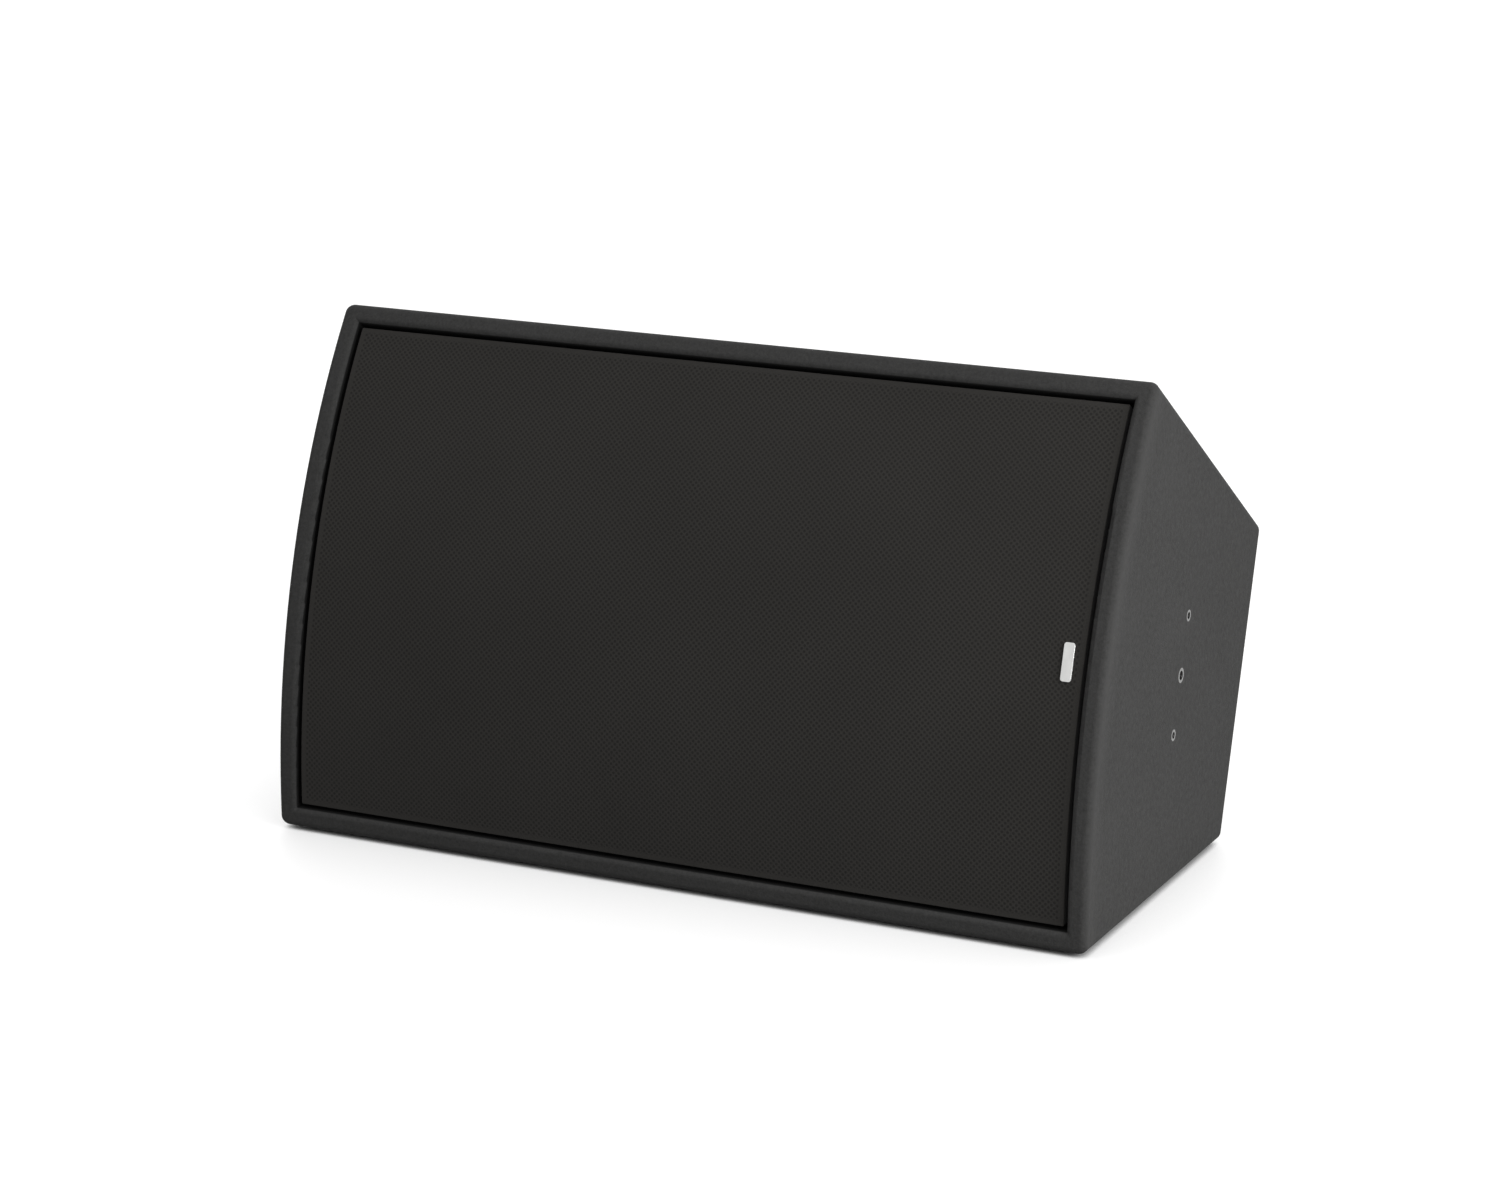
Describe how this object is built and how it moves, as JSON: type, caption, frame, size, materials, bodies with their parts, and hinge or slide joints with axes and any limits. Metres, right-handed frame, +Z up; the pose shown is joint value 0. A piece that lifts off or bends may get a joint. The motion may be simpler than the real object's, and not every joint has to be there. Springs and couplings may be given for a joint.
{
  "type": "stage monitor wedge",
  "caption": "Loudspeaker cabinet with a bowed cloth grille, lying on its long side so that it leans back as a floor monitor, with threaded inserts in its ends.",
  "frame": {"origin": "below the middle of the cabinet, on the surface that its feet stand on", "axes": "+X along the cabinet, to the right seen from the front; +Y to the rear; +Z up"},
  "size_m": [0.65, 0.3466, 0.381],
  "materials": {
    "cabinet_paint": "plywood with fine textured dark paint",
    "plywood": "bare birch plywood",
    "cloth": "thin black acoustic cloth",
    "black_steel": "powder coated black",
    "rubber": "matte",
    "foam": "open-cell foam",
    "zinc": "zinc plated",
    "black_screw": "black oxide",
    "nickel": "nickel plated",
    "badge": "satin, blank",
    "basket": "die cast, painted black",
    "ferrite": "sintered, matte",
    "motor_steel": "zinc plated",
    "paper_cone": "ribbed black paper",
    "coil_former": "polyimide film",
    "copper": "enamelled copper wire",
    "suspension": "coated cotton",
    "spider_cloth": "impregnated cotton",
    "horn_plastic": "moulded black",
    "port_plastic": "moulded black",
    "diaphragm": "thin foil",
    "connector_plate": "powder coated black",
    "socket_plastic": "moulded black",
    "circuit_board": "green solder mask",
    "capacitor": "yellow film wrap",
    "resistor": "white cement",
    "terminal_plastic": "moulded green",
    "lead_sheath": "black sheath"
  },
  "bodies": {
    "cabinet": {"left_end_panel": "cabinet_paint", "right_end_panel": "cabinet_paint", "top_panel": "cabinet_paint", "bottom_panel": "cabinet_paint", "rear_panel": "cabinet_paint", "baffle": "cabinet_paint", "battens": "plywood", "window_brace": "plywood", "insert_blocks": "plywood", "m8_inserts": "zinc", "m6_inserts": "zinc", "rubber_feet": "rubber", "grille_seal": "foam", "grille_magnets": "nickel", "magnet_screws": "black_screw", "woofer_gasket": "foam", "woofer_basket": "basket", "woofer_screws": "black_screw", "woofer_top_plate": "motor_steel", "woofer_magnet": "ferrite", "woofer_pole_plate": "motor_steel", "woofer_surround": "suspension", "woofer_spider": "spider_cloth", "woofer_terminals": "terminal_plastic", "horn": "horn_plastic", "horn_gasket": "foam", "horn_screws": "black_screw", "driver_pole": "motor_steel", "driver_bolts": "zinc", "driver_magnet": "ferrite", "driver_top_plate": "motor_steel", "driver_suspension": "coil_former", "driver_cover": "horn_plastic", "driver_cover_screws": "zinc", "driver_terminals": "terminal_plastic", "port_tubes": "port_plastic", "plate_gasket": "foam", "connector_plate": "connector_plate", "plate_screws": "black_screw", "speaker_sockets": "socket_plastic", "socket_screws": "black_screw", "socket_link_board": "circuit_board", "standoffs": "horn_plastic", "crossover_board": "circuit_board", "board_screws": "zinc", "crossover_coils": "copper", "crossover_capacitors": "capacitor", "crossover_resistors": "resistor", "crossover_terminals": "terminal_plastic", "internal_leads": "lead_sheath", "acoustic_foam": "foam"},
    "grille": {"grille_steel": "black_steel", "grille_cloth": "cloth", "badge_plate": "badge"},
    "cone": {"woofer_cone": "paper_cone", "dust_cap": "paper_cone", "voice_coil_former": "coil_former", "voice_coil_winding": "copper"},
    "diaphragm": {"driver_diaphragm": "diaphragm"}
  },
  "joints": [
    {"name": "grille_pull", "type": "slide", "parent": "cabinet", "child": "grille", "axis": [0, -0.9573, 0.289], "range_m": [0, 0.1]},
    {"name": "cone_stroke", "type": "slide", "parent": "cabinet", "child": "cone", "axis": [0, -0.9573, 0.289], "range_m": [-0.006, 0.006], "stiffness_N_per_m": 5000, "deforming": ["woofer_surround", "woofer_spider"]},
    {"name": "diaphragm_stroke", "type": "slide", "parent": "cabinet", "child": "diaphragm", "axis": [0, -0.9573, 0.289], "range_m": [-0.0004, 0.0004], "stiffness_N_per_m": 10000, "deforming": ["driver_suspension"]}
  ]
}
